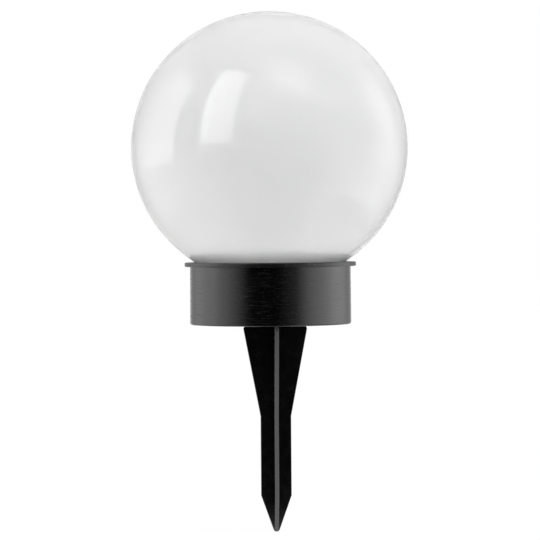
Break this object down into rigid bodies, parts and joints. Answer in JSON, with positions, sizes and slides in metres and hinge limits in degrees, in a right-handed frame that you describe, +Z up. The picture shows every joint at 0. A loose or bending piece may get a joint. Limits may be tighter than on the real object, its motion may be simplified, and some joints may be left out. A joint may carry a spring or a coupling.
{
  "type": "path light",
  "caption": "Solar path light: an opal ball screwed into a round black collar with a thin flange, on a pull-out four-bladed ground stake.",
  "frame": {"origin": "on the collar's axis, in the plane of its foot ring, which is the ground's surface when the stake is pushed fully in", "axes": "+Z up along the ball and the collar, +X to the right in the picture, +Y away from the camera"},
  "size_m": [0.2, 0.2, 0.3763],
  "materials": {
    "stake_black": "moulded black plastic, satin",
    "collar_black": "moulded black plastic, satin, with fine lines",
    "deck_black": "moulded black plastic, satin",
    "opal": "opal white plastic, glossy",
    "seal_rubber": "matte",
    "screw_steel": "plated",
    "contact_metal": "plated strip",
    "white_sheet": "white sheet",
    "panel_board": "solder mask",
    "cell_blue": "dark blue silicon",
    "clear_sheet": "clear resin",
    "lamp_resin": "clear warm resin",
    "board_green": "solder mask",
    "component_black": "moulded",
    "cell_sleeve": "shrink sleeve",
    "wire_red": "insulation",
    "wire_black": "insulation",
    "knob_grey": "moulded"
  },
  "bodies": {
    "stake": {"stake": "stake_black"},
    "head": {"housing": "collar_black", "deck": "deck_black", "deck_gasket": "seal_rubber", "deck_screws": "screw_steel", "reflector": "white_sheet", "solar_board": "panel_board", "solar_cells": "cell_blue", "panel_window": "clear_sheet", "leds": "lamp_resin", "circuit_board": "board_green", "board_parts": "component_black", "board_screws": "screw_steel", "battery": "cell_sleeve", "contact_spring": "contact_metal", "contact_plate": "contact_metal", "panel_wires": "wire_red", "battery_wires": "wire_red", "switch_wires": "wire_black", "switch_body": "component_black"},
    "seal": {"neck_seal": "seal_rubber"},
    "ball": {"globe": "opal"},
    "knob": {"switch_knob": "knob_grey"},
    "door": {"battery_door": "collar_black", "door_gasket": "seal_rubber", "door_screws": "screw_steel"}
  },
  "joints": [
    {"name": "head_lift", "type": "slide", "parent": "stake", "child": "head", "axis": [0, 0, 1], "range_m": [0, 0.02]},
    {"name": "seal_rise", "type": "slide", "parent": "head", "child": "seal", "axis": [0, 0, 1], "range_m": [0, 0.0061]},
    {"name": "globe_turn", "type": "hinge", "parent": "seal", "child": "ball", "pos_m": [0, 0, 0.045], "axis": [0, 0, 1], "range_deg": [0, 540]},
    {"name": "switch_slide", "type": "slide", "parent": "head", "child": "knob", "axis": [-0.7071, 0.7071, 0], "range_m": [0, 0.003]},
    {"name": "battery_door", "type": "slide", "parent": "head", "child": "door", "axis": [0, 0, -1], "range_m": [0, 0.03]}
  ],
  "couplings": [
    {"joint": "seal_rise", "follows": "globe_turn", "m_per_rad": 0.00063662}
  ]
}
